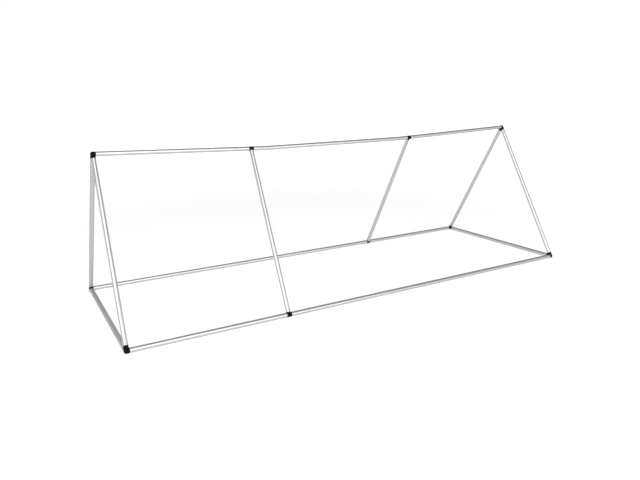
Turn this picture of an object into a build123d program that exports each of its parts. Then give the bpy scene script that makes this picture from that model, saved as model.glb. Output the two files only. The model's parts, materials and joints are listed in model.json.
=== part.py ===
from build123d import *
from math import sqrt
import os

os.makedirs("parts", exist_ok=True)

# A knock-down A-frame that carries a long banner: round aluminium tubes pushed on moulded connectors.
# Sizes are in millimetres. X runs along the ridge, -Y is the front, Z is up.
# The origin is on the floor, under the middle of the frame.

# The frame, measured between the centres of its connectors. Each middle leg leans outwards by tee_lean,
# and each rail has a seam this far past its ridge tee.
frame_length = 3048.0
base_depth = 1016.0
leg_span = 1040.0
ridge_tee_reach = 918.0
tee_lean = 29.0
seam_offset = 98.0

# Tube
tube_diameter = 25.4
tube_wall = 1.2
seam_gap = 0.6

# Rolled ring that locks each end leg on the ridge connector
crimp_reach = 20.0
crimp_width = 3.0
crimp_depth = 0.6

# Connectors: distance from the centre to each tube's shoulder, and their thickness
corner_leg_arm = 26.5
corner_rail_arm = 14.5
tee_leg_arm = 13.7
tee_rail_arm = 15.0
arm_diameter = 26.2
tee_branch_diameter = 25.8
knuckle_diameter = 27.8
shoulder_chamfer = 0.6
foot_drop = 12.9
seat_gap = 0.2

# Ribbed spigot that a tube pushes on
corner_spigot = 45.0
tee_spigot = 34.0
spigot_clearance = 0.2
fixed_draft = 0.2
pull_draft = 1.6
spigot_lead = 2.0
rib_count = 6
rib_width = 2.2
core_diameter = 18.0
core_bore = 12.0
core_floor = 3.0

# Inner sleeve that joins two tubes at a seam
sleeve_grip = 42.0
sleeve_wall = 1.2
sleeve_clearance = 0.2

# Snap button, its leaf spring and the rivet of each sleeve
button_reach = 22.0
button_diameter = 7.9
button_clearance = 0.08
button_stand = 2.6
button_dome = 1.2
flange_diameter = 9.8
flange_thickness = 1.0
leaf_width = 6.0
leaf_thickness = 0.6
leaf_length = 26.0
leaf_gap = 0.1
rivet_reach = 22.0
rivet_diameter = 4.8
rivet_clearance = 0.05
rivet_head_diameter = 9.5
rivet_head_height = 1.6
rivet_rim = 0.4
rivet_tail = 2.5

# Worked out from the sizes above
half_length = frame_length / 2
half_depth = base_depth / 2
foot_tee_reach = ridge_tee_reach - tee_lean
seam_reach = ridge_tee_reach + seam_offset
tube_radius = tube_diameter / 2
bore_radius = tube_radius - tube_wall
arm_radius = arm_diameter / 2
spigot_radius = bore_radius - spigot_clearance
sleeve_radius = bore_radius - sleeve_clearance
sleeve_bore = sleeve_radius - sleeve_wall
ridge_height = foot_drop + sqrt(leg_span**2 - half_depth**2)
leg_tube = leg_span - 2 * (corner_leg_arm + seat_gap)
# The middle legs are the same tubes on shorter arms, so the ridge sags where they hold it.
middle_leg_span = leg_tube + 2 * (tee_leg_arm + seat_gap)
ridge_tee_height = foot_drop + sqrt(middle_leg_span**2 - half_depth**2 - tee_lean**2)

LEFT, RIGHT = -1, 1
SIDE = {LEFT: "left", RIGHT: "right"}
DEPTH = {"ridge": 0.0, "front": -half_depth, "back": half_depth}
# The middle leg near each end stands on one row only.
MIDDLE_LEG_ROW = {LEFT: "front", RIGHT: "back"}
TEES = {"ridge": (LEFT, RIGHT), "front": (LEFT,), "back": (RIGHT,)}
RAIL_TUBES = {
    "ridge": ("tube_left", "stub_left", "tube_middle", "stub_right", "tube_right"),
    "front": ("tube_left", "stub_left", "tube_middle", "tube_right"),
    "back": ("tube_left", "tube_middle", "stub_right", "tube_right"),
}
BACKWARD, SIDEWAYS = Vector(0, 1, 0), Vector(1, 0, 0)
UPRIGHT = (Align.CENTER, Align.CENTER, Align.MIN)


def corner_point(row, end):
    """Centre of the corner connector at one end of a row."""
    height = ridge_height if row == "ridge" else foot_drop
    return Vector(end * half_length, DEPTH[row], height)


def tee_point(row, end):
    """Centre of the tee nearest to one end of a row."""
    if row == "ridge":
        return Vector(end * (half_length - ridge_tee_reach), 0, ridge_tee_height)
    return Vector(end * (half_length - foot_tee_reach), DEPTH[row], foot_drop)


def seam_point(row, end):
    """Where two tubes of a row meet: on the line from the corner through the tee."""
    corner, tee = corner_point(row, end), tee_point(row, end)
    reach = ridge_tee_reach if row == "ridge" else foot_tee_reach
    return corner + (tee - corner) * (seam_reach / reach)


def aim(origin, direction):
    """A frame at origin with Z along direction: its X looks back on a rail, and along the rail elsewhere."""
    z_dir = direction.normalized()
    reference = BACKWARD if abs(z_dir.X) > abs(z_dir.Y) else SIDEWAYS
    y_dir = z_dir.cross(reference).normalized()
    return Plane(origin=origin, x_dir=y_dir.cross(z_dir), z_dir=z_dir).location


def turned(points):
    """Solid of revolution about Z, from its outline as radius and height."""
    return revolve(Plane.XZ * make_face(Polyline(*points, close=True)), Axis.Z)


def domed(points, crown):
    """Solid of revolution whose outline goes from the axis to a rim, and back over a round dome."""
    dome = TangentArc((0, crown), points[-1], tangent=(1, 0))
    outline = Wire([*Polyline(*points).edges(), dome, Line((0, crown), points[0])])
    return revolve(Plane.XZ * make_face(outline), Axis.Z)


def envelope(shoulder, length, draft, groove):
    """The space that the ribs of a spigot fill, before they are cut out of it."""
    tip = shoulder + length
    nose = spigot_radius - draft
    outline = [(0, shoulder - core_floor), (spigot_radius, shoulder - core_floor)]
    if groove:
        low, high = (shoulder + seat_gap + crimp_reach + side * crimp_width for side in (-1, 1))
        rim = spigot_radius - draft * crimp_reach / length
        floor = rim - crimp_depth
        outline += [(rim, low), (floor, low), (floor, high), (rim, high)]
    outline += [(nose, tip - spigot_lead), (nose - spigot_lead / 2, tip), (0, tip)]
    return turned(outline)


def arm(radius, reach, length, draft, groove=False):
    """One arm of a connector along Z: a round shoulder, then a hollow core with ribs around it."""
    tip = reach + length
    core = core_diameter / 2
    hollow = core_bore / 2
    body = turned([
        (0, 0), (radius, 0), (radius, reach - shoulder_chamfer), (radius - shoulder_chamfer, reach),
        (core, reach), (core - draft / 2, tip), (hollow, tip), (hollow, reach + core_floor),
        (0, reach + core_floor),
    ])
    blades = Box(tube_diameter, rib_width, length + core_floor)
    cross = Part()
    for turn in range(rib_count // 2):
        cross += Rot(0, 0, turn * 360 / rib_count) * blades
    cross = Pos(0, 0, reach + (length - core_floor) / 2) * cross
    ribs = cross & envelope(reach, length, draft, groove)
    ribs -= Pos(0, 0, reach + core_floor) * Cylinder(hollow, length, align=UPRIGHT)
    return body + ribs


def stand_on_floor(solid):
    """The flat that a connector stands on, cut at floor level."""
    low = solid.bounding_box()
    size = low.size
    block = Box(size.X, size.Y, size.Z)
    return solid - Pos(low.center().X, low.center().Y, -size.Z / 2) * block


def corner_connector(row, end):
    """Three-way corner: a round knuckle with two arms in the end frame and one along the rail."""
    centre = corner_point(row, end)
    others = [name for name in ("ridge", "front", "back") if name != row]
    solid = Pos(*centre) * Sphere(knuckle_diameter / 2)
    for other in others:
        crimped = row == "ridge"
        leg_arm = arm(arm_radius, corner_leg_arm, corner_spigot, fixed_draft, crimped)
        towards = corner_point(other, end) - centre
        solid += aim(centre, towards) * leg_arm
    rail_arm = arm(arm_radius, corner_rail_arm, corner_spigot, pull_draft)
    solid += aim(centre, seam_point(row, end) - centre) * rail_arm
    return solid if row == "ridge" else stand_on_floor(solid)


def tee_connector(row, end):
    """Tee: a straight barrel along the rail, and a short branch for the middle leg."""
    centre = tee_point(row, end)
    rail = seam_point(row, end) - centre
    other = tee_point(MIDDLE_LEG_ROW[end] if row == "ridge" else "ridge", end)
    rail_arm = arm(arm_radius, tee_rail_arm, tee_spigot, fixed_draft)
    branch = arm(tee_branch_diameter / 2, tee_leg_arm, tee_spigot, fixed_draft)
    solid = aim(centre, rail) * rail_arm + aim(centre, -rail) * rail_arm
    solid += aim(centre, other - centre) * branch
    return solid if row == "ridge" else stand_on_floor(solid)


def tube(start, finish, start_reach, finish_reach):
    """Plain round tube between two points, stopping short of each by its reach."""
    span = (finish - start).length
    length = span - start_reach - finish_reach
    wall = Cylinder(tube_radius, length, align=UPRIGHT)
    wall -= Cylinder(bore_radius, length, align=UPRIGHT)
    return aim(start, finish - start) * (Pos(0, 0, start_reach) * wall)


def crimped_leg(top, foot):
    """End leg: a tube with a ring rolled in near its top, which grips the ridge connector."""
    reach = corner_leg_arm + seat_gap
    length = (foot - top).length - 2 * reach
    low, middle, high = (crimp_reach + step * crimp_width / 2 for step in (-1, 0, 1))
    edges = []
    for radius in (tube_radius, bore_radius):
        edges.append([Line((radius, 0), (radius, low)),
                      ThreePointArc((radius, low), (radius - crimp_depth, middle), (radius, high)),
                      Line((radius, high), (radius, length))])
    ends = [Line((bore_radius, z), (tube_radius, z)) for z in (0, length)]
    outline = make_face(Wire(edges[0] + edges[1] + ends))
    solid = revolve(Plane.XZ * outline, Axis.Z)
    return aim(top, foot - top) * (Pos(0, 0, reach) * solid)


def across(point, bottom, top, radius):
    """Round pin that points to the back of the frame, from bottom to top above a tube's axis."""
    pin = Cylinder(radius, top - bottom, align=UPRIGHT)
    return aim(point, BACKWARD) * (Pos(0, 0, bottom) * pin)


def seam_places(row, end):
    """The seam, then the places of its snap button in the outer tube and its rivet in the middle one."""
    seam = seam_point(row, end)
    outward = (corner_point(row, end) - seam).normalized()
    inward = (seam_point(row, -end) - seam).normalized()
    return seam, seam + outward * button_reach, seam + inward * rivet_reach


def button_hole(point):
    return across(point, 0, tube_diameter, button_diameter / 2 + button_clearance)


def rivet_hole(point):
    return across(point, 0, tube_diameter, rivet_diameter / 2 + rivet_clearance)


def sleeve(row, end):
    """Inner sleeve, with half of its length in each tube, so it takes the ridge's small bend."""
    seam, button_at, rivet_at = seam_places(row, end)
    outer = seam + (button_at - seam).normalized() * sleeve_grip
    inner = seam + (rivet_at - seam).normalized() * sleeve_grip
    section = Plane(origin=outer, z_dir=seam - outer) * (Circle(sleeve_radius) - Circle(sleeve_bore))
    solid = sweep(section, path=Polyline(outer, seam, inner), transition=Transition.RIGHT)
    return solid - button_hole(button_at) - rivet_hole(rivet_at)


def snap_button(row, end):
    """Domed pin with a flange that stays inside the sleeve."""
    radius = button_diameter / 2
    flange = flange_diameter / 2
    under = flange_seat() - flange_thickness
    top = tube_radius + button_stand
    solid = domed([(0, under), (flange, under), (flange, flange_seat()), (radius, flange_seat()),
                   (radius, top - button_dome)], top)
    return aim(seam_places(row, end)[1], BACKWARD) * solid


def flange_seat():
    """Height of the flange's rim, where its edge meets the round wall of the sleeve."""
    return sqrt(sleeve_bore**2 - (flange_diameter / 2) ** 2) - leaf_gap


def button_spring(row, end):
    """V of spring strip: one leaf under the button's flange, one against the far wall of the sleeve."""
    seam, at, _ = seam_places(row, end)
    upper = flange_seat() - flange_thickness - leaf_gap
    lower = leaf_gap - sqrt(sleeve_bore**2 - (leaf_width / 2) ** 2)
    pad = flange_diameter / 2
    fold = pad - leaf_length
    points = [(pad, upper - leaf_thickness / 2), (-pad, upper - leaf_thickness / 2),
              (fold, (upper + lower) / 2), (-pad, lower + leaf_thickness / 2),
              (pad, lower + leaf_thickness / 2)]
    bends = FilletPolyline(*points, radius=leaf_thickness * 3)
    strip = Plane.XY * trace(bends, line_width=leaf_thickness)
    solid = extrude(strip, leaf_width / 2, both=True)
    outward = (at - seam).normalized()
    return Plane(origin=at, x_dir=outward, z_dir=outward.cross(BACKWARD)).location * solid


def rivet(row, end):
    """Blind rivet through the middle tube and its sleeve."""
    shank = rivet_diameter / 2
    tail = sleeve_bore - rivet_tail
    head = rivet_head_diameter / 2
    rim = tube_radius + rivet_rim
    solid = domed([(0, tail), (shank, tail), (shank, tube_radius), (head, tube_radius), (head, rim)],
                  tube_radius + rivet_head_height)
    return aim(seam_places(row, end)[2], BACKWARD) * solid


def rail_stations(row):
    """Each point of a row where a tube ends, from left to right, with how far short of it the tube stops."""
    halves = {}
    for end in (LEFT, RIGHT):
        half = [(corner_point(row, end), corner_rail_arm + seat_gap)]
        if end in TEES[row]:
            half.append((tee_point(row, end), tee_rail_arm + seat_gap))
        halves[end] = half + [(seam_point(row, end), seam_gap / 2)]
    return halves[LEFT] + halves[RIGHT][::-1]


def rail_tubes(row):
    """The tubes of one row from left to right, with the holes for its buttons and rivets."""
    stations = rail_stations(row)
    found = {}
    for name, start, finish in zip(RAIL_TUBES[row], stations, stations[1:]):
        found[name] = tube(start[0], finish[0], start[1], finish[1])
    for end in (LEFT, RIGHT):
        _, button_at, rivet_at = seam_places(row, end)
        outer = "stub" if end in TEES[row] else "tube"
        found[f"{outer}_{SIDE[end]}"] -= button_hole(button_at)
        found["tube_middle"] -= rivet_hole(rivet_at)
    return {f"{row}_{name}": solid for name, solid in found.items()}


def end_frame(end):
    """Three corner connectors, two crimped legs and a base bar."""
    side = SIDE[end]
    ridge, front, back = (corner_point(row, end) for row in ("ridge", "front", "back"))
    found = {f"{row}_corner_{side}": corner_connector(row, end) for row in DEPTH}
    found[f"front_leg_{side}"] = crimped_leg(ridge, front)
    found[f"back_leg_{side}"] = crimped_leg(ridge, back)
    reach = corner_leg_arm + seat_gap
    found[f"base_bar_{side}"] = tube(front, back, reach, reach)
    return found


def middle_leg(end):
    """Leg from a ridge tee down to the tee of its own row."""
    reach = tee_leg_arm + seat_gap
    return tube(tee_point("ridge", end), tee_point(MIDDLE_LEG_ROW[end], end), reach, reach)


def rail(row):
    """The tubes and tees of one row, with the sleeve, button and spring of each seam."""
    found = rail_tubes(row)
    for end in TEES[row]:
        found[f"{row}_tee_{SIDE[end]}"] = tee_connector(row, end)
    for end in (LEFT, RIGHT):
        found[f"{row}_sleeve_{SIDE[end]}"] = sleeve(row, end)
        found[f"{row}_button_{SIDE[end]}"] = snap_button(row, end)
        found[f"{row}_spring_{SIDE[end]}"] = button_spring(row, end)
    return found


nodes = {}
for row in DEPTH:
    nodes |= rail(row)
for end in (LEFT, RIGHT):
    nodes |= end_frame(end)
    nodes[f"{MIDDLE_LEG_ROW[end]}_leg_middle"] = middle_leg(end)
nodes["sleeve_rivets"] = Compound(children=[rivet(row, end) for row in DEPTH for end in SIDE])

for name, solid in nodes.items():
    export_step(solid, f"parts/{name}.step")
print(len(nodes), "nodes, ridge sag at the tees", round(ridge_height - ridge_tee_height, 1), "mm")
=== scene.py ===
# %% [markdown]
# # A-frame banner display
# The real object is a knock-down frame: round aluminium tubes pushed on black moulded connectors.
# Its rails come apart in thirds at snap-button seams, and each end frame pulls off sideways.
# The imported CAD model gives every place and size. Here each piece gets the shape and finish
# that a close look would show: rolled rims, blended mouldings, drawn metal and glossy nylon.

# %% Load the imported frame
import json
from math import cos, pi, radians, sin, sqrt

import bmesh
import bpy
from mathutils import Matrix, Vector

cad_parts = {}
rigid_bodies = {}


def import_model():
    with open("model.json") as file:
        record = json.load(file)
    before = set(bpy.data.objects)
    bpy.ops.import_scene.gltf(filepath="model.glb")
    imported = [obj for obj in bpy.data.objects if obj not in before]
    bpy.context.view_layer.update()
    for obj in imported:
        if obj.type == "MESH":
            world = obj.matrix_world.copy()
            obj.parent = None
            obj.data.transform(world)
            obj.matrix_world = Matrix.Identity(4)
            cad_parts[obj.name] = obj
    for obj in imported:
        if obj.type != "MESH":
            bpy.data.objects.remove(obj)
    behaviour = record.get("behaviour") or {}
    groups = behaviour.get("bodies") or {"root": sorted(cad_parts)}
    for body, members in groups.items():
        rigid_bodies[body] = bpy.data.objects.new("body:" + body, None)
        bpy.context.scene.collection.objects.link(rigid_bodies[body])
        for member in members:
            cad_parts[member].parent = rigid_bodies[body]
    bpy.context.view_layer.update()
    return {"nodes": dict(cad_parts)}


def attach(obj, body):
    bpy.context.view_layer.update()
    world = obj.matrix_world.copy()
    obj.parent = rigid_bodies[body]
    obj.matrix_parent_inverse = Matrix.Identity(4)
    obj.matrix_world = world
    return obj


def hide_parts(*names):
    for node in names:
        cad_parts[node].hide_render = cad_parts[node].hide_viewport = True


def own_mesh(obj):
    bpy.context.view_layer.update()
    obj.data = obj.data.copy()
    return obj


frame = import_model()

# %% [markdown]
# ## Where the pieces are
# Everything hangs on ten connector centres, so those come first, in metres. The end legs hold the
# corners of the ridge, the long top edge. The middle legs are the same tubes on shorter connector
# arms, so the ridge dips where they hold it. The frame looks the same when it is turned half way
# round, so one function finds a place at either end.

# %% Sizes of the frame
FRAME_LENGTH, BASE_DEPTH, LEG_SPAN = 3.048, 1.016, 1.040
RIDGE_TEE_REACH, TEE_LEAN, SEAM_OFFSET = 0.918, 0.029, 0.098
TUBE_RADIUS, TUBE_WALL, SEAM_GAP, SEAT_GAP = 0.0127, 0.0012, 0.0006, 0.0002
CORNER_LEG_ARM, CORNER_RAIL_ARM, TEE_LEG_ARM, TEE_RAIL_ARM = 0.0265, 0.0145, 0.0137, 0.015
FOOT_DROP = 0.0129
BORE_RADIUS = TUBE_RADIUS - TUBE_WALL
half_length, half_depth = FRAME_LENGTH / 2, BASE_DEPTH / 2
ridge_height = FOOT_DROP + sqrt(LEG_SPAN**2 - half_depth**2)
leg_tube = LEG_SPAN - 2 * (CORNER_LEG_ARM + SEAT_GAP)
middle_leg_span = leg_tube + 2 * (TEE_LEG_ARM + SEAT_GAP)
tee_height = FOOT_DROP + sqrt(middle_leg_span**2 - half_depth**2 - TEE_LEAN**2)

LEFT, RIGHT = -1, 1
SIDE = {LEFT: "left", RIGHT: "right"}
ROW_DEPTH = {"ridge": 0.0, "front": -half_depth, "back": half_depth}
MIDDLE_LEG_ROW = {LEFT: "front", RIGHT: "back"}
TEES = {"ridge": (LEFT, RIGHT), "front": (LEFT,), "back": (RIGHT,)}
BACKWARD, SIDEWAYS = Vector((0, 1, 0)), Vector((1, 0, 0))


def corner_point(row, end):
    """Centre of the corner connector at one end of a row."""
    return Vector((end * half_length, ROW_DEPTH[row], ridge_height if row == "ridge" else FOOT_DROP))


def tee_reach(row):
    """How far a row's tees are from its ends."""
    return RIDGE_TEE_REACH if row == "ridge" else RIDGE_TEE_REACH - TEE_LEAN


def tee_point(row, end):
    """Centre of the tee nearest to one end of a row."""
    height = tee_height if row == "ridge" else FOOT_DROP
    return Vector((end * (half_length - tee_reach(row)), ROW_DEPTH[row], height))


def seam_point(row, end):
    """Where two tubes of a row meet, on the line from the corner through the tee."""
    corner, tee = corner_point(row, end), tee_point(row, end)
    return corner + (tee - corner) * ((RIDGE_TEE_REACH + SEAM_OFFSET) / tee_reach(row))


print("ridge", round(ridge_height, 4), "m high, and", round(tee_height, 4), "m at its tees")

# %% [markdown]
# ## Helpers
# An operator works on whatever is selected, so each step first selects one piece, or just the
# faces or edges it needs, found by their place. A piece is modelled upright at the origin, where
# sizes are easy to type, and then it is stood along its own tube and its place is applied to the mesh.

# %% Selecting and placing
FINE = 1e-5
ALIGNED = 0.99
TUBE_SIDES = 64


def select_only(piece):
    """Object mode, with this piece alone selected and active."""
    if bpy.context.object and bpy.context.object.mode != "OBJECT":
        bpy.ops.object.mode_set(mode="OBJECT")
    bpy.ops.object.select_all(action="DESELECT")
    piece.select_set(True)
    bpy.context.view_layer.objects.active = piece


def pick(piece, kind, wanted):
    """Edit mode, with just the parts of this kind selected for which wanted is true."""
    if piece.mode != "EDIT":
        select_only(piece)
        bpy.ops.object.mode_set(mode="EDIT")
    bpy.ops.mesh.select_mode(type=kind)
    bpy.ops.mesh.select_all(action="DESELECT")
    shape = bmesh.from_edit_mesh(piece.data)
    parts = {"VERT": shape.verts, "EDGE": shape.edges, "FACE": shape.faces}[kind]
    for part in parts:
        part.select_set(wanted(part))
    shape.select_flush_mode()
    bmesh.update_edit_mesh(piece.data)


def aim(origin, direction):
    """A turn and place with Z along direction; X looks back on a rail, and along the rails elsewhere."""
    z_axis = direction.normalized()
    reference = BACKWARD if abs(z_axis.x) > abs(z_axis.y) else SIDEWAYS
    y_axis = z_axis.cross(reference).normalized()
    x_axis = y_axis.cross(z_axis)
    return Matrix.Translation(origin) @ Matrix((x_axis, y_axis, z_axis)).transposed().to_4x4()


def score(piece, point, normal):
    """Adds edges all round a piece where a plane crosses it."""
    pick(piece, "VERT", lambda vertex: True)
    bpy.ops.mesh.bisect(plane_co=point, plane_no=normal, threshold=FINE / 10)


def settle(piece, place=Matrix.Identity(4)):
    """Moves the piece by place and applies it, so that the object itself stays at the origin."""
    select_only(piece)
    piece.matrix_world = place @ piece.matrix_world
    bpy.ops.object.transform_apply(location=True, rotation=True, scale=True)


def apply_modifier(piece, kind, **settings):
    """Adds one modifier, with its settings, and applies it."""
    select_only(piece)
    bpy.ops.object.modifier_add(type=kind)
    modifier = piece.modifiers[-1]
    for setting, value in settings.items():
        setattr(modifier, setting, value)
    bpy.ops.object.modifier_apply(modifier=modifier.name)


def cut(piece, cutter):
    """Takes the cutter's shape out of the piece, and throws the cutter away."""
    apply_modifier(piece, "BOOLEAN", operation="DIFFERENCE", object=cutter, solver="MANIFOLD")
    bpy.data.objects.remove(cutter)


def fuse(piece, other):
    """Adds the other's shape to the piece as one closed skin, and throws the other away."""
    apply_modifier(piece, "BOOLEAN", operation="UNION", object=other, solver="MANIFOLD")
    bpy.data.objects.remove(other)


def cylinder(name, radius, bottom, top, sides=TUBE_SIDES):
    """An upright cylinder between two heights."""
    bpy.ops.object.select_all(action="DESELECT")
    bpy.ops.mesh.primitive_cylinder_add(vertices=sides, radius=radius, depth=top - bottom,
                                        location=(0, 0, (bottom + top) / 2))
    piece = bpy.context.object
    piece.name = piece.data.name = name
    settle(piece)
    return piece


def twin(piece, name, place):
    """A copy with its own mesh, moved by place."""
    copy = piece.copy()
    copy.data = piece.data.copy()
    copy.name = copy.data.name = name
    bpy.context.collection.objects.link(copy)
    settle(copy, place)
    return copy


print("helpers ready")

# %% [markdown]
# ## Finish: drawn aluminium tube
# The tube is drawn through a die, which leaves very fine lines along it, and a clear anodised film
# makes it satin. A flat grey would look like paint. So the colour and the gloss vary a little in
# streaks that are long along the tube and narrow around it, with a few broad handling marks.
# The streaks have to follow each tube whichever way it points, so every tube carries its own
# coordinates in an attribute named grain, which the noise reads.

# %% Material helpers
BUMP_DEPTH = 0.0001
STREAK_SCALE, STREAK_STRETCH, MARK_SCALE, STREAK_SHARE = 900.0, 0.012, 9.0, 0.6


def feed(socket, value):
    """Links a node's input from another node's output, or sets its value."""
    if isinstance(value, bpy.types.NodeSocket):
        socket.id_data.links.new(value, socket)
    else:
        socket.default_value = value


def node_adder(tree):
    """A function that adds a node to this tree, with its settings and its inputs by name."""

    def add(kind, settings=None, **inputs):
        node = tree.nodes.new(kind)
        for setting, value in (settings or {}).items():
            setattr(node, setting, value)
        for name, value in inputs.items():
            feed(node.inputs[name.replace("_", " ")], value)
        return node

    return add


def new_material(name):
    """A node material, with its shader and the function that adds nodes to it."""
    material = bpy.data.materials.new(name)
    material.use_nodes = True
    tree = material.node_tree
    return material, tree.nodes["Principled BSDF"], node_adder(tree)


def combine(add, operation, *values):
    """The result of a Math node."""
    node = add("ShaderNodeMath", {"operation": operation})
    for socket, value in zip(node.inputs, values):
        feed(socket, value)
    return node.outputs[0]


def noise(add, place, scale, detail, roughness):
    """The grey of a noise texture."""
    node = add("ShaderNodeTexNoise", Vector=place, Scale=scale, Detail=detail, Roughness=roughness)
    return node.outputs["Fac"]


def ramp(add, fac, low, high, start=0.35, end=0.65):
    """A colour ramp from low to high greys, or colours, between two values of fac."""
    node = add("ShaderNodeValToRGB", Fac=fac)
    for element, place, tone in zip(node.color_ramp.elements, (start, end), (low, high)):
        element.position = place
        element.color = (*tone, 1) if isinstance(tone, tuple) else (tone, tone, tone, 1)
    return node.outputs["Color"]


def finish_shader(shader, add, colour, roughness, height, strength):
    """Gives a shader its colour and roughness, and a bump from a height."""
    bump = add("ShaderNodeBump", Height=height, Strength=strength, Distance=BUMP_DEPTH)
    feed(shader.inputs["Base Color"], colour)
    feed(shader.inputs["Roughness"], roughness)
    feed(shader.inputs["Normal"], bump.outputs["Normal"])


def drawn_metal(name, dark, light, rough_low, rough_high, edge_tint):
    """Drawn metal with streaks along the piece's own Z."""
    material, shader, add = new_material(name)
    grain = add("ShaderNodeAttribute", {"attribute_name": "grain"}).outputs["Vector"]
    stretch = (1.0, 1.0, STREAK_STRETCH)
    stretched = add("ShaderNodeMapping", Vector=grain, Scale=stretch).outputs["Vector"]
    streaks = noise(add, stretched, STREAK_SCALE, 3.0, 0.6)
    marks = combine(add, "MULTIPLY", noise(add, grain, MARK_SCALE, 4.0, 0.55), 1 - STREAK_SHARE)
    both = combine(add, "MULTIPLY_ADD", streaks, STREAK_SHARE, marks)
    finish_shader(shader, add, ramp(add, both, dark, light, 0.3, 0.7),
                  ramp(add, both, rough_high, rough_low, 0.3, 0.7), streaks, 0.06)
    shader.inputs["Metallic"].default_value = 1.0
    shader.inputs["Specular Tint"].default_value = (edge_tint, edge_tint, edge_tint, 1)
    return material


tube_metal = drawn_metal("satin_drawn_aluminium", (0.50, 0.50, 0.50), (0.57, 0.57, 0.57),
                         0.24, 0.34, 0.5)
print("metal:", tube_metal.name)

# %% [markdown]
# ## Finish: moulded nylon
# The connectors are black injection-moulded nylon, glossy where the steel mould was polished, with a
# faint orange peel that softens the reflections. Two noises make it: a fine one for the peel, and a
# broad one that lets the gloss drift, as handled plastic does.

# %% Black nylon
PEEL_SCALE, DRIFT_SCALE, DRIFT_SHADE, NYLON_SHEEN = 1400.0, 60.0, 0.75, 0.07


def moulded_nylon(name, colour):
    """Glossy black plastic with a fine peel."""
    material, shader, add = new_material(name)
    place = add("ShaderNodeTexCoord").outputs["Object"]
    drift = noise(add, place, DRIFT_SCALE, 3.0, 0.6)
    darker = tuple(DRIFT_SHADE * tone for tone in colour)
    finish_shader(shader, add, ramp(add, drift, darker, colour), ramp(add, drift, 0.13, 0.22),
                  noise(add, place, PEEL_SCALE, 2.0, 0.5), 0.12)
    shader.inputs["Specular IOR Level"].default_value = NYLON_SHEEN
    return material


nylon = moulded_nylon("black_nylon", (0.002, 0.002, 0.0022))
print("plastic:", nylon.name)

# %% [markdown]
# ## Finish: small metal parts
# The snap buttons are zinc-plated pressings with a slightly cloudy dome, the springs are dull strip,
# and the rivets and inner sleeves are soft aluminium. One recipe serves all four, in other tones.

# %% Small metal parts
CLOUD_SCALE = 420.0


def small_metal(name, dark, light, rough_low, rough_high):
    """Plated or dull metal with a cloudy tone."""
    material, shader, add = new_material(name)
    cloud = noise(add, add("ShaderNodeTexCoord").outputs["Object"], CLOUD_SCALE, 3.0, 0.5)
    finish_shader(shader, add, ramp(add, cloud, dark, light, 0.0, 1.0),
                  ramp(add, cloud, rough_high, rough_low, 0.0, 1.0), cloud, 0.01)
    shader.inputs["Metallic"].default_value = 1.0
    return material


button_steel = small_metal("zinc_plated_steel", (0.42, 0.42, 0.44), (0.58, 0.58, 0.60), 0.18, 0.32)
spring_steel = small_metal("spring_strip", (0.20, 0.20, 0.22), (0.34, 0.34, 0.36), 0.28, 0.42)
rivet_metal = small_metal("dull_rivet_metal", (0.45, 0.45, 0.46), (0.60, 0.60, 0.61), 0.30, 0.44)
sleeve_metal = small_metal("mill_aluminium", (0.36, 0.36, 0.37), (0.48, 0.48, 0.49), 0.34, 0.46)
small_metals = (button_steel, spring_steel, rivet_metal, sleeve_metal)
print("small metals:", ", ".join(metal.name for metal in small_metals))

# %% [markdown]
# ## Tubes
# Each tube is a drawn tube with an open bore and deburred rims. It could be a curve with a round
# bevel, but then it would have no wall. So a cylinder is added at the tube's size, its caps are inset
# by the wall and bridged, which bores it through, and the four rims are bevelled. One more edge loop
# near each end keeps the smooth shading of the long faces true.

# %% Modelling one tube
RIM = 0.0003
SMOOTH_BELOW = radians(35)


def bored_tube(name, length, bottom):
    """An upright open tube that starts at a height."""
    ends = (bottom, bottom + length)

    def on_rim(edge):
        inner, outer = sorted(vertex.co.to_2d().length for vertex in edge.verts)
        return outer - inner < FINE and any(
            all(abs(vertex.co.z - height) < FINE for vertex in edge.verts) for height in ends)

    piece = cylinder(name, TUBE_RADIUS, *ends)
    pick(piece, "FACE", lambda face: abs(face.normal.z) > ALIGNED)
    bpy.ops.mesh.inset(thickness=TUBE_WALL)
    bpy.ops.mesh.bridge_edge_loops()
    bpy.ops.mesh.select_all(action="SELECT")
    bpy.ops.mesh.normals_make_consistent(inside=False)
    pick(piece, "EDGE", on_rim)
    bpy.ops.mesh.bevel(offset=RIM, segments=2, affect="EDGES")
    hold(piece, [ends[0] + 2 * RIM, ends[1] - 2 * RIM])
    return piece


def hold(piece, heights):
    """Edge loops across an upright piece, so that smooth shading stays true up to them."""
    for height in heights:
        score(piece, (0, 0, height), (0, 0, 1))
    bpy.ops.object.mode_set(mode="OBJECT")


def finish_tube(piece, place, body, node):
    """Stands the tube in its place, keeps its own coordinates as the grain, and lets it ride."""
    grain = [vertex.co.copy() for vertex in piece.data.vertices]
    settle(piece, place)
    keep_grain(piece, grain)
    dress(piece, tube_metal, "tube_aluminium", body, node)


def keep_grain(piece, grain):
    """Stores each point's own coordinates, which the streaks follow."""
    layer = piece.data.attributes.new("grain", "FLOAT_VECTOR", "POINT")
    for index, point in enumerate(grain):
        layer.data[index].vector = point


def dress(piece, material, slot, body, *nodes):
    """Finish, smooth shading, body and the CAD nodes that the piece stands for; slot is not used."""
    select_only(piece)
    piece.data.materials.clear()
    piece.data.materials.append(material)
    bpy.ops.object.shade_smooth_by_angle(angle=SMOOTH_BELOW)
    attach(piece, body)
    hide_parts(*nodes)


def tube_between(name, start, finish, start_reach, finish_reach):
    """An upright tube for two connector centres, short of each by its reach, and its place."""
    length = (finish - start).length - start_reach - finish_reach
    piece = bored_tube(f"{name}_drawn", length, start_reach)
    return piece, aim(start, finish - start)


print("tube wall", TUBE_WALL * 1000, "mm")

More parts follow.
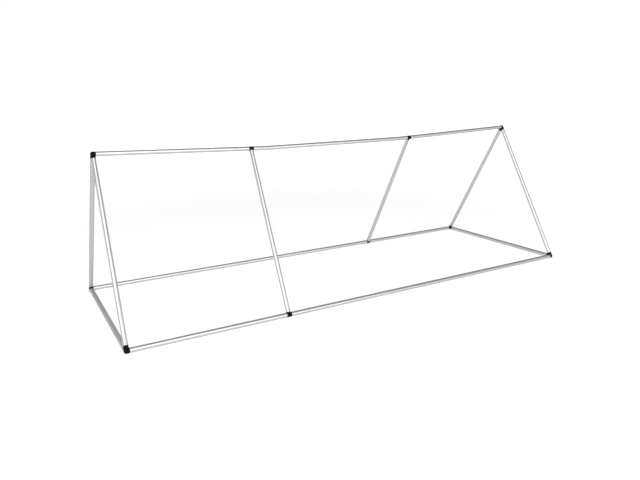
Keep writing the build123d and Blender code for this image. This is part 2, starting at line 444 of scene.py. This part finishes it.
# %% [markdown]
# ## Rails
# The ridge and the two bottom rails are made of thirds that meet at the seams, and a tee splits some
# of the thirds again. Their holes for the snap buttons and rivets all face backwards, out of sight
# of the banner. A hole is a boolean cut with a pin that points backwards.

# %% Rail tubes
BUTTON_RADIUS, BUTTON_REACH, BUTTON_PLAY = 0.00395, 0.022, 0.00008
RIVET_RADIUS, RIVET_REACH, RIVET_PLAY = 0.0024, 0.022, 0.00005
HOLE_SIDES = 32
RAIL_TUBES = {"ridge": ("tube_left", "stub_left", "tube_middle", "stub_right", "tube_right"),
              "front": ("tube_left", "stub_left", "tube_middle", "tube_right"),
              "back": ("tube_left", "tube_middle", "stub_right", "tube_right")}


def seam_places(row, end):
    """The seam, then the places of its snap button, in the outer tube, and of its rivet."""
    seam = seam_point(row, end)
    outward = (corner_point(row, end) - seam).normalized()
    inward = (seam_point(row, -end) - seam).normalized()
    return seam, seam + outward * BUTTON_REACH, seam + inward * RIVET_REACH


def drill(piece, point, radius):
    """A round hole through the back of a tube whose axis passes through the point."""
    pin = cylinder("drill", radius, 0, 2 * TUBE_RADIUS, HOLE_SIDES)
    settle(pin, aim(point, BACKWARD))
    cut(piece, pin)


def rail_stations(row):
    """Each point of a row where tubes end, from left to right, and how far short of it they stop."""
    halves = {}
    for end in (LEFT, RIGHT):
        half = [(corner_point(row, end), CORNER_RAIL_ARM + SEAT_GAP)]
        if end in TEES[row]:
            half.append((tee_point(row, end), TEE_RAIL_ARM + SEAT_GAP))
        halves[end] = half + [(seam_point(row, end), SEAM_GAP / 2)]
    return halves[LEFT] + halves[RIGHT][::-1]


for row in ROW_DEPTH:
    stations = rail_stations(row)
    for name, start, finish in zip(RAIL_TUBES[row], stations, stations[1:]):
        node = f"{row}_{name}"
        piece, place = tube_between(node, start[0], finish[0], start[1], finish[1])
        grain_of = place.inverted()
        settle(piece, place)
        for end in (LEFT, RIGHT):
            _, button_at, rivet_at = seam_places(row, end)
            if name == f"{'stub' if end in TEES[row] else 'tube'}_{SIDE[end]}":
                drill(piece, button_at, BUTTON_RADIUS + BUTTON_PLAY)
            if name == "tube_middle":
                drill(piece, rivet_at, RIVET_RADIUS + RIVET_PLAY)
        keep_grain(piece, [grain_of @ vertex.co for vertex in piece.data.vertices])
        dress(piece, tube_metal, "tube_aluminium", "rails", node)
print("rail tubes:", sum(len(names) for names in RAIL_TUBES.values()))

# %% [markdown]
# ## Legs and base bars
# An end leg has a ring rolled in just under the ridge connector, which grips a groove in it. The ring
# is modelled on the tube itself: loops are cut across it, and those of the ring are scaled inwards.

# %% Legs and bars
CRIMP_REACH, CRIMP_WIDTH, CRIMP_DEPTH, CRIMP_STEPS = 0.020, 0.003, 0.0006, 8


def roll_ring(piece, bottom):
    """Rolls a round groove in an upright tube, wall and all."""
    low = bottom + CRIMP_REACH - CRIMP_WIDTH / 2
    heights = [low + CRIMP_WIDTH * step / CRIMP_STEPS for step in range(CRIMP_STEPS + 1)]
    hold(piece, [low - RIM, *heights, low + CRIMP_WIDTH + RIM])
    for height in heights[1:-1]:
        depth = CRIMP_DEPTH * sin(pi * (height - low) / CRIMP_WIDTH)
        squeeze = 1 - depth / TUBE_RADIUS
        pick(piece, "VERT", lambda vertex: abs(vertex.co.z - height) < FINE)
        bpy.ops.transform.resize(value=(squeeze, squeeze, 1), center_override=(0, 0, height))
    bpy.ops.object.mode_set(mode="OBJECT")


reach = CORNER_LEG_ARM + SEAT_GAP
for end, side in SIDE.items():
    top, body = corner_point("ridge", end), f"{side}_end"
    for row in ("front", "back"):
        piece, place = tube_between(f"{row}_leg_{side}", top, corner_point(row, end), reach, reach)
        roll_ring(piece, reach)
        finish_tube(piece, place, body, f"{row}_leg_{side}")
    front, back = corner_point("front", end), corner_point("back", end)
    piece, place = tube_between(f"base_bar_{side}", front, back, reach, reach)
    finish_tube(piece, place, body, f"base_bar_{side}")
    row = MIDDLE_LEG_ROW[end]
    middle_reach = TEE_LEG_ARM + SEAT_GAP
    piece, place = tube_between(f"{row}_leg_middle", tee_point("ridge", end), tee_point(row, end),
                                middle_reach, middle_reach)
    finish_tube(piece, place, "rails", f"{row}_leg_middle")
print("legs and bars: 8, with a rolled ring on the 4 end legs")

# %% [markdown]
# ## Moulded connectors
# A connector is one moulding: a round knuckle, a shouldered arm for each tube, and on each arm a
# hollow spigot with six ribs that the tube is pushed on. Loose cylinders would meet in hard creases,
# which no mould has. So the arms and the knuckle are joined, remeshed into one skin and smoothed,
# which blends the crotches; then each arm is cut square at its shoulder and gets its small chamfer,
# and the ribbed spigot is fused on. A fine raised line shows where the two mould halves met, and a
# connector that stands on the floor is cut flat underneath.

# %% Sizes of the connectors
KNUCKLE_RADIUS, ARM_RADIUS, BRANCH_RADIUS = 0.0139, 0.0131, 0.0129
SHOULDER_CHAMFER, OVERRUN = 0.0006, 0.004
CORNER_SPIGOT, TEE_SPIGOT, SPIGOT_PLAY = 0.045, 0.034, 0.0002
SPIGOT_RADIUS = BORE_RADIUS - SPIGOT_PLAY
FIXED_DRAFT, PULL_DRAFT, SPIGOT_LEAD = 0.0002, 0.0016, 0.002
RIB_COUNT, RIB_WIDTH, CORE_RADIUS, CORE_BORE, CORE_FLOOR = 6, 0.0022, 0.009, 0.006, 0.003
PARTING_WIDTH, PARTING_HEIGHT = 0.0004, 0.00011
print("spigots", CORNER_SPIGOT * 1000, "and", TEE_SPIGOT * 1000, "mm long")

# %% A ribbed spigot
SPIGOT_SIDES, BORE_SIDES = 96, 48


def ribbed_spigot(name, reach, length, draft, groove):
    """An upright hollow spigot: a cylinder whose skin is pushed in to the core between the ribs."""
    base, tip = reach - CORE_FLOOR, reach + length
    piece = cylinder(name, SPIGOT_RADIUS, base, tip, SPIGOT_SIDES)
    half_rib = RIB_WIDTH / 2 / SPIGOT_RADIUS
    pitch = 2 * pi / RIB_COUNT

    def between_ribs(vertex):
        angle = vertex.co.to_2d().angle_signed(Vector((0, 1))) % pitch
        return min(angle, pitch - angle) > half_rib

    pick(piece, "VERT", between_ribs)
    inward = CORE_RADIUS / SPIGOT_RADIUS
    bpy.ops.transform.resize(value=(inward, inward, 1), center_override=(0, 0, 0))
    levels = {tip: (SPIGOT_RADIUS - draft - SPIGOT_LEAD / 2) / SPIGOT_RADIUS,
              tip - SPIGOT_LEAD: (SPIGOT_RADIUS - draft) / SPIGOT_RADIUS}
    ring = reach + SEAT_GAP + CRIMP_REACH
    groove_floor = (SPIGOT_RADIUS - draft * CRIMP_REACH / length - CRIMP_DEPTH) / SPIGOT_RADIUS
    cuts = [tip - SPIGOT_LEAD]
    if groove:
        for rim, inward_step in ((ring - CRIMP_WIDTH, FINE), (ring + CRIMP_WIDTH, -FINE)):
            cuts += [rim, rim + inward_step]
    for height in cuts:
        score(piece, (0, 0, height), (0, 0, 1))
    for height, squeeze in levels.items():
        pick(piece, "VERT", lambda vertex: abs(vertex.co.z - height) < FINE / 2)
        bpy.ops.transform.resize(value=(squeeze, squeeze, 1), center_override=(0, 0, height))
    if groove:
        pick(piece, "VERT", lambda vertex: abs(vertex.co.z - ring) < CRIMP_WIDTH - FINE / 2
             and vertex.co.to_2d().length > (CORE_RADIUS + SPIGOT_RADIUS) / 2)
        bpy.ops.transform.resize(value=(groove_floor, groove_floor, 1), center_override=(0, 0, ring))
    bpy.ops.object.mode_set(mode="OBJECT")
    cut(piece, cylinder("core_bore", CORE_BORE, reach + CORE_FLOOR, tip + OVERRUN, BORE_SIDES))
    return piece


print("spigot radius", round(SPIGOT_RADIUS * 1000, 2), "mm over", RIB_COUNT, "ribs")


# %% Parting lines and shoulders
def raise_parting_line(piece, normal):
    """A fine ridge round the moulding, in the plane through its centre with this normal."""
    for offset in (-PARTING_WIDTH / 2, 0, PARTING_WIDTH / 2):
        score(piece, normal * offset, normal)
    pick(piece, "VERT", lambda vertex: abs(vertex.co.dot(normal)) < FINE / 5)
    bpy.ops.transform.shrink_fatten(value=PARTING_HEIGHT)
    bpy.ops.object.mode_set(mode="OBJECT")


def square_shoulder(piece, direction, radius, reach):
    """Cuts an arm off square, then raises the cut face with a chamfer to its full reach."""
    edge_at = direction * (reach - SHOULDER_CHAMFER)
    cutter = cylinder("shoulder_cutter", radius + SHOULDER_CHAMFER, 0, SHOULDER_CHAMFER + 2 * OVERRUN)
    settle(cutter, aim(edge_at, direction))
    cut(piece, cutter)

    def on_cut(face):
        offset = face.calc_center_median() - edge_at
        return (face.normal.dot(direction) > ALIGNED and abs(offset.dot(direction)) < FINE
                and offset.length < radius)

    pick(piece, "FACE", on_cut)
    bpy.ops.mesh.extrude_region_move(TRANSFORM_OT_translate={"value": direction * SHOULDER_CHAMFER})
    shrink = (radius - SHOULDER_CHAMFER) / radius
    bpy.ops.transform.resize(value=(shrink, shrink, shrink), center_override=direction * reach)
    bpy.ops.object.mode_set(mode="OBJECT")


print("shoulders have a", SHOULDER_CHAMFER * 1000, "mm chamfer")

# %% One moulding
VOXEL, SMOOTH_FACTOR, SMOOTH_ROUNDS = 0.0006, 0.5, 36
KNUCKLE_SIDES = 48


def connector(name, arms, parting, knuckle, stands):
    """One moulding about the origin.

    Each arm is a direction, radius, reach, spigot length, draft and whether it has a groove.
    """
    bpy.ops.object.select_all(action="DESELECT")
    bpy.ops.mesh.primitive_uv_sphere_add(segments=KNUCKLE_SIDES, ring_count=KNUCKLE_SIDES // 2,
                                         radius=knuckle)
    piece = bpy.context.object
    piece.name = piece.data.name = name
    for number, (direction, radius, reach, *_) in enumerate(arms):
        limb = cylinder(f"limb_{number}", radius, 0, reach + OVERRUN)
        settle(limb, aim(Vector(), direction))
        fuse(piece, limb)
    apply_modifier(piece, "REMESH", mode="VOXEL", voxel_size=VOXEL)
    apply_modifier(piece, "SMOOTH", factor=SMOOTH_FACTOR, iterations=SMOOTH_ROUNDS)
    raise_parting_line(piece, parting)
    for direction, radius, reach, *_ in arms:
        square_shoulder(piece, direction, radius, reach)
    for number, (direction, radius, reach, length, draft, groove) in enumerate(arms):
        spigot = ribbed_spigot(f"spigot_{number}", reach, length, draft, groove)
        settle(spigot, aim(Vector(), direction))
        fuse(piece, spigot)
    if stands:
        cut(piece, cylinder("floor_cutter", 3 * knuckle, -2 * FOOT_DROP, -FOOT_DROP))
    return piece


print("mouldings are remeshed in voxels of", VOXEL * 1000, "mm")

# %% The six corner connectors
HALF_TURN = Matrix.Rotation(pi, 4, "Z")
TURNED_ROW = {"ridge": "ridge", "front": "back", "back": "front"}


def place_pair(master, row, centre, kind, bodies):
    """The master at its place on the left, and a copy turned half way round on the right."""
    settle(master, Matrix.Translation(centre))
    right = twin(master, f"{TURNED_ROW[row]}_{kind}_right_moulding", HALF_TURN)
    dress(master, nylon, "connector_plastic", bodies[0], f"{row}_{kind}_left")
    dress(right, nylon, "connector_plastic", bodies[1], f"{TURNED_ROW[row]}_{kind}_right")


for row in ROW_DEPTH:
    centre = corner_point(row, LEFT)
    arms = []
    for other in ROW_DEPTH:
        if other != row:
            towards = (corner_point(other, LEFT) - centre).normalized()
            arms.append((towards, ARM_RADIUS, CORNER_LEG_ARM, CORNER_SPIGOT, FIXED_DRAFT,
                         row == "ridge"))
    along = (seam_point(row, LEFT) - centre).normalized()
    arms.append((along, ARM_RADIUS, CORNER_RAIL_ARM, CORNER_SPIGOT, PULL_DRAFT, False))
    master = connector(f"{row}_corner_left_moulding", arms, SIDEWAYS, KNUCKLE_RADIUS, row != "ridge")
    place_pair(master, row, centre, "corner", ("left_end", "right_end"))
    print(master.name, len(master.data.polygons), "faces")

# %% The four tees
for row in ("ridge", "front"):
    centre = tee_point(row, LEFT)
    along = (seam_point(row, LEFT) - centre).normalized()
    branch = (tee_point("front" if row == "ridge" else "ridge", LEFT) - centre).normalized()
    barrel = (ARM_RADIUS, TEE_RAIL_ARM, TEE_SPIGOT, FIXED_DRAFT, False)
    arms = [(along, *barrel), (-along, *barrel),
            (branch, BRANCH_RADIUS, TEE_LEG_ARM, TEE_SPIGOT, FIXED_DRAFT, False)]
    parting = along.cross(branch).normalized()
    master = connector(f"{row}_tee_left_moulding", arms, parting, ARM_RADIUS, row != "ridge")
    place_pair(master, row, centre, "tee", ("rails", "rails"))
    print(master.name, len(master.data.polygons), "faces")

# %% [markdown]
# ## Snap buttons, springs and rivets
# At each seam an inner sleeve joins two tubes. It is riveted in the middle tube, and a snap button on
# a leaf spring locks the outer one: pressed in, it lets the third slide off.
# The button and rivet are turned shapes. Each starts as a cylinder, and its top face is inset ring by
# ring and raised a little each time, which makes the dome. The spring is a strip pulled out along
# its V by extrusion, with Solidify for its thickness.

# %% Sizes of the small parts
SLEEVE_PLAY, SLEEVE_WALL = 0.0002, 0.0012
SLEEVE_BORE = BORE_RADIUS - SLEEVE_PLAY - SLEEVE_WALL
BUTTON_STAND, BUTTON_DOME, BUTTON_TIP, BUTTON_TRAVEL = 0.0026, 0.0012, 0.0004, 0.0042
FLANGE_RADIUS, FLANGE_THICKNESS = 0.0049, 0.001
LEAF_WIDTH, LEAF_THICKNESS, LEAF_LENGTH, LEAF_GAP = 0.006, 0.0006, 0.026, 0.0001
RIVET_HEAD, RIVET_HEIGHT, RIVET_RIM, RIVET_TAIL = 0.00475, 0.0016, 0.0004, 0.0025
MANDREL_RADIUS, MANDREL_DEPTH, MANDREL_LIP, MANDREL_CROWN = 0.0013, 0.0009, 0.00015, (0.0003, 0.0002)
flange_seat = sqrt(SLEEVE_BORE**2 - FLANGE_RADIUS**2) - LEAF_GAP
print("sleeve bore radius", round(SLEEVE_BORE * 1000, 2), "mm, flange seat", round(flange_seat * 1000, 2))

# %% Turned shapes
DOME_STEPS, TURNED_SIDES = 7, 48
BUTTON_ROUND, RIVET_ROUND, SPRING_ROUND = 0.00012, 0.0001, 0.0001
ROUND_ABOVE = radians(50)


def end_face(piece, way):
    """Selects the face at the top (way 1) or bottom (way -1) of an upright piece; returns its height."""
    height = way * max(way * vertex.co.z for vertex in piece.data.vertices)
    pick(piece, "FACE", lambda face: way * face.normal.z > ALIGNED
         and abs(face.calc_center_median().z - height) < FINE / 5)
    return height


def raise_dome(piece, radius, crown, inner):
    """Insets the top face ring by ring, each a little higher, as far as the inner radius."""
    end_face(piece, 1)
    bend = (radius**2 + crown**2) / (2 * crown)
    rings = [radius + (inner - radius) * step / DOME_STEPS for step in range(DOME_STEPS + 1)]
    heights = [sqrt(bend**2 - ring**2) for ring in rings]
    for step in range(DOME_STEPS):
        bpy.ops.mesh.inset(thickness=rings[step] - rings[step + 1],
                           depth=heights[step + 1] - heights[step])
    bpy.ops.object.mode_set(mode="OBJECT")


def step_down(piece, radius, now, depth):
    """Insets or widens the bottom face to a radius, then pulls it down by a depth."""
    lowest = end_face(piece, -1)
    bpy.ops.mesh.extrude_region_move(TRANSFORM_OT_translate={"value": (0, 0, 0)})
    ratio = radius / now
    bpy.ops.transform.resize(value=(ratio, ratio, 1), center_override=(0, 0, lowest))
    bpy.ops.mesh.extrude_region_move(TRANSFORM_OT_translate={"value": (0, 0, -depth)})
    bpy.ops.object.mode_set(mode="OBJECT")


def soften(piece, width):
    """A small round on every sharp edge."""
    apply_modifier(piece, "BEVEL", width=width, segments=2, limit_method="ANGLE",
                   angle_limit=ROUND_ABOVE)


print("domes are raised in", DOME_STEPS, "rings")

# %% Snap buttons
dome_from = TUBE_RADIUS + BUTTON_STAND - BUTTON_DOME
button = cylinder("snap_button", BUTTON_RADIUS, flange_seat, dome_from, TURNED_SIDES)
step_down(button, FLANGE_RADIUS, BUTTON_RADIUS, FLANGE_THICKNESS)
raise_dome(button, BUTTON_RADIUS, BUTTON_DOME, BUTTON_TIP)
soften(button, BUTTON_ROUND)
for row in ROW_DEPTH:
    for end, side in SIDE.items():
        copy = twin(button, f"{row}_button_{side}_pressing", aim(seam_places(row, end)[1], BACKWARD))
        dress(copy, button_steel, "button_steel", f"{row}_button_{side}", f"{row}_button_{side}")
bpy.data.objects.remove(button)
print("snap buttons: 6, dome", BUTTON_DOME * 1000, "mm")

# %% Rivets
rivet = cylinder("blind_rivet", RIVET_HEAD, TUBE_RADIUS, TUBE_RADIUS + RIVET_RIM, TURNED_SIDES)
step_down(rivet, RIVET_RADIUS, RIVET_HEAD, TUBE_RADIUS - SLEEVE_BORE + RIVET_TAIL)
raise_dome(rivet, RIVET_HEAD, RIVET_HEIGHT - RIVET_RIM, MANDREL_RADIUS)
end_face(rivet, 1)
bpy.ops.mesh.inset(thickness=MANDREL_LIP, depth=-MANDREL_DEPTH)
bpy.ops.mesh.inset(thickness=MANDREL_CROWN[0], depth=MANDREL_CROWN[1])
bpy.ops.object.mode_set(mode="OBJECT")
soften(rivet, RIVET_ROUND)
for row in ROW_DEPTH:
    for end, side in SIDE.items():
        copy = twin(rivet, f"{row}_rivet_{side}", aim(seam_places(row, end)[2], BACKWARD))
        dress(copy, rivet_metal, "rivet_aluminium", "rails", "sleeve_rivets")
bpy.data.objects.remove(rivet)
print("rivets: 6, with a pulled mandrel in each head")

# %% Leaf springs
FOLD_BEND, FOLD_STEPS = 0.0018, 6
upper = flange_seat - FLANGE_THICKNESS - LEAF_GAP - LEAF_THICKNESS / 2
lower = LEAF_GAP + LEAF_THICKNESS / 2 - sqrt(SLEEVE_BORE**2 - (LEAF_WIDTH / 2) ** 2)
fold_at, fold_middle = FLANGE_RADIUS - LEAF_LENGTH + FOLD_BEND, (upper + lower) / 2
strip_line = [(FLANGE_RADIUS, upper), (-FLANGE_RADIUS, upper)]
for step in range(FOLD_STEPS + 1):
    angle = pi * step / FOLD_STEPS
    strip_line.append((fold_at - FOLD_BEND * sin(angle), fold_middle + FOLD_BEND * cos(angle)))
strip_line += [(-FLANGE_RADIUS, lower), (FLANGE_RADIUS, lower)]


def pull_strip(name, line, width):
    """A strip whose cross edge is extruded from point to point of a line in the XZ plane."""
    bpy.ops.object.select_all(action="DESELECT")
    bpy.ops.mesh.primitive_plane_add(size=width)
    piece = bpy.context.object
    piece.name = piece.data.name = name
    (x0, z0), (x1, z1) = line[:2]
    for vertex in piece.data.vertices:
        vertex.co.x, vertex.co.z = (x0, z0) if vertex.co.x > 0 else (x1, z1)
    last = Vector((x1, 0, z1))
    pick(piece, "EDGE", lambda edge: all(abs(v.co.x - x1) < FINE for v in edge.verts))
    for x, z in line[2:]:
        bpy.ops.mesh.extrude_region_move(TRANSFORM_OT_translate={"value": Vector((x, 0, z)) - last})
        last = Vector((x, 0, z))
    bpy.ops.object.mode_set(mode="OBJECT")
    return piece


spring = pull_strip("leaf_spring", strip_line, LEAF_WIDTH)
apply_modifier(spring, "SOLIDIFY", thickness=LEAF_THICKNESS, offset=0, use_even_offset=True)
soften(spring, SPRING_ROUND)
for row in ROW_DEPTH:
    for end, side in SIDE.items():
        seam, button_at, _ = seam_places(row, end)
        outward = (button_at - seam).normalized()
        up = outward.cross(BACKWARD)
        stand = Matrix((outward, -up, BACKWARD)).transposed().to_4x4()
        copy = twin(spring, f"{row}_spring_{side}_strip", Matrix.Translation(button_at) @ stand)
        dress(copy, spring_steel, "spring_steel", "rails", f"{row}_spring_{side}")
        tuple(BACKWARD)
        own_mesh(copy)
bpy.data.objects.remove(spring)

# %% [markdown]
# ## Inner sleeves
# A sleeve lies inside two tubes, so only its edge shows, in the hair's breadth of the seam and in the
# holes. Its CAD solid already has that form, and it only needs its mill finish.

# %% Sleeves
for row in ROW_DEPTH:
    for side in SIDE.values():
        node = frame["nodes"][f"{row}_sleeve_{side}"]
        node.data.materials.clear()
        node.data.materials.append(sleeve_metal)
print("sleeves: 6")

# %% [markdown]
# ## Camera
# The photograph is taken from the front left, a little above the ridge, slightly rolled. The lens and
# place were worked out from the ten connector centres, so the camera is set by its matrix.

# %% Camera at the photograph's place
PICTURE = (640, 480)
FOCAL, CENTRE = 567.7, (287.01, 200.49)
AZIMUTH, ELEVATION, ROLL = radians(27.744), radians(11.112), radians(-1.070)
STANDPOINT, SENSOR = (-2.0144, -3.1336, 1.2396), 36.0
camera_data = bpy.data.cameras.new("camera")
camera = bpy.data.objects.new("camera", camera_data)
bpy.context.scene.collection.objects.link(camera)
bpy.context.scene.camera = camera
camera_data.sensor_width = SENSOR
camera_data.lens = FOCAL / PICTURE[0] * SENSOR
camera_data.shift_x = (PICTURE[0] / 2 - CENTRE[0]) / PICTURE[0]
camera_data.shift_y = (CENTRE[1] - PICTURE[1] / 2) / PICTURE[0]
level = cos(ELEVATION)
forward = Vector((sin(AZIMUTH) * level, cos(AZIMUTH) * level, -sin(ELEVATION)))
level_right = forward.cross(Vector((0, 0, 1))).normalized()
level_down = forward.cross(level_right)
right = cos(ROLL) * level_right - sin(ROLL) * level_down
down = sin(ROLL) * level_right + cos(ROLL) * level_down
turn = Matrix((right, -down, -forward)).transposed().to_4x4()
camera.matrix_world = Matrix.Translation(STANDPOINT) @ turn
print("lens", round(camera_data.lens, 2), "mm, shift", round(camera_data.shift_x, 4),
      round(camera_data.shift_y, 4))

# %% [markdown]
# ## Floor, backdrop and light
# The photograph has a pure white background. The floor is a real pale surface, lit by the same lamps,
# so it keeps the frame's soft shadow, and it is lifted to white for the camera and in reflections.
# Large soft lamps stand at the front, as in a studio: they give each tube its white core, and the
# darker room above and behind gives it its grey edges.

# %% Floor
FLOOR_SIZE, FLOOR_TONE = 60.0, (0.8, 0.8, 0.8, 1)
LIFT_BETWEEN, LIFT = (2.5, 9.0), (0.47, 0.85)


def map_range(add, value, between, onto, kind="LINEAR"):
    """A value between two limits, carried over to two others."""
    node = add("ShaderNodeMapRange", {"interpolation_type": kind}, Value=value, From_Min=between[0],
               From_Max=between[1], To_Min=onto[0], To_Max=onto[1])
    return node.outputs["Result"]


bpy.ops.object.select_all(action="DESELECT")
bpy.ops.mesh.primitive_plane_add(size=FLOOR_SIZE, location=(0, 0, 0))
floor = bpy.context.object
floor.name = floor.data.name = "floor"
material, shader, add = new_material("white_floor")
material.node_tree.nodes.remove(shader)
rays = add("ShaderNodeLightPath").outputs
seen = combine(add, "MAXIMUM", rays["Is Camera Ray"], rays["Is Glossy Ray"])
seen = combine(add, "MAXIMUM", seen, rays["Is Transmission Ray"])
place = add("ShaderNodeTexCoord").outputs["Object"]
distance = add("ShaderNodeVectorMath", {"operation": "LENGTH"}, Vector=place).outputs["Value"]
lift = combine(add, "MULTIPLY", seen, map_range(add, distance, LIFT_BETWEEN, LIFT))
total = add("ShaderNodeAddShader")
feed(total.inputs[0], add("ShaderNodeBsdfDiffuse", Color=FLOOR_TONE).outputs[0])
feed(total.inputs[1], add("ShaderNodeEmission", Strength=lift).outputs[0])
feed(material.node_tree.nodes["Material Output"].inputs["Surface"], total.outputs[0])
floor.data.materials.append(material)
print("floor", FLOOR_SIZE, "m wide")

# %% World
ROOM_LIGHT, WHITE_LIGHT, LOW_SKY = 0.45, 1.0, (0.30, 0.50)
world = bpy.data.worlds.new("studio")
bpy.context.scene.world = world
world.use_nodes = True
tree = world.node_tree
add = node_adder(tree)
room, white = tree.nodes["Background"], add("ShaderNodeBackground")
for background, strength in ((room, ROOM_LIGHT), (white, WHITE_LIGHT)):
    background.inputs["Color"].default_value = (1, 1, 1, 1)
    background.inputs["Strength"].default_value = strength
rays = add("ShaderNodeLightPath").outputs
direction = add("ShaderNodeTexCoord").outputs["Generated"]
upward = add("ShaderNodeSeparateXYZ", Vector=direction).outputs["Z"]
seen = combine(add, "MAXIMUM", rays["Is Glossy Ray"], rays["Is Transmission Ray"])
reflected = combine(add, "MULTIPLY", seen, map_range(add, upward, LOW_SKY, (1.0, 0.0), "SMOOTHSTEP"))
mixed = add("ShaderNodeMixShader", Fac=combine(add, "MAXIMUM", rays["Is Camera Ray"], reflected))
feed(mixed.inputs[1], room.outputs[0])
feed(mixed.inputs[2], white.outputs[0])
feed(tree.nodes["World Output"].inputs["Surface"], mixed.outputs[0])
print("world:", world.name)

# %% Lamps
LAMP_TARGET = Vector((0, 0, 0.5))
LAMPS = {"front_left": ((-6.4, -4.4, 3.4), (4.6, 4.0), 120),
         "front_high": ((-1.6, -5.0, 5.6), (7.0, 4.0), 170),
         "front_low": ((1.4, -7.0, 2.2), (6.0, 3.6), 150)}
for name, (place, (wide, high), power) in LAMPS.items():
    data = bpy.data.lights.new(name, "AREA")
    data.shape, data.size, data.size_y, data.energy = "RECTANGLE", wide, high, power
    lamp = bpy.data.objects.new(name, data)
    bpy.context.scene.collection.objects.link(lamp)
    back = (Vector(place) - LAMP_TARGET).normalized()
    lamp.matrix_world = Matrix.Translation(place) @ back.to_track_quat("Z", "Y").to_matrix().to_4x4()
print("lamps:", len(LAMPS))

# %% [markdown]
# ## Is every new piece closed?
# A boolean does nothing, without an error, to a mesh that has a gap in it, and then the piece lacks
# its holes or spigots. So the edges that don't have exactly two faces are counted, and there have to
# be none. The lowest point of all is checked too: the frame stands on the floor, not in it.

# %% Count the open edges
NEW_KINDS = ("_drawn", "_moulding", "_pressing", "_strip")


def open_edges(piece):
    """How many edges of a mesh don't have exactly two faces."""
    shape = bmesh.new()
    shape.from_mesh(piece.data)
    count = sum(len(edge.link_faces) != 2 for edge in shape.edges)
    shape.free()
    return count


made = [piece for piece in bpy.data.objects if piece.name.endswith(NEW_KINDS) or "_rivet_" in piece.name]
lowest = min(vertex.co.z for piece in made for vertex in piece.data.vertices)
print(len(made), "new pieces, open edges:", sum(open_edges(piece) for piece in made))
print("lowest point:", round(lowest * 1000, 3), "mm")

# %% [markdown]
# ## View transform
# The dressed frame is meant to fill the same box as the CAD model. The render uses the Standard view
# transform.

# %% View transform
bpy.context.scene.view_settings.view_transform = "Standard"
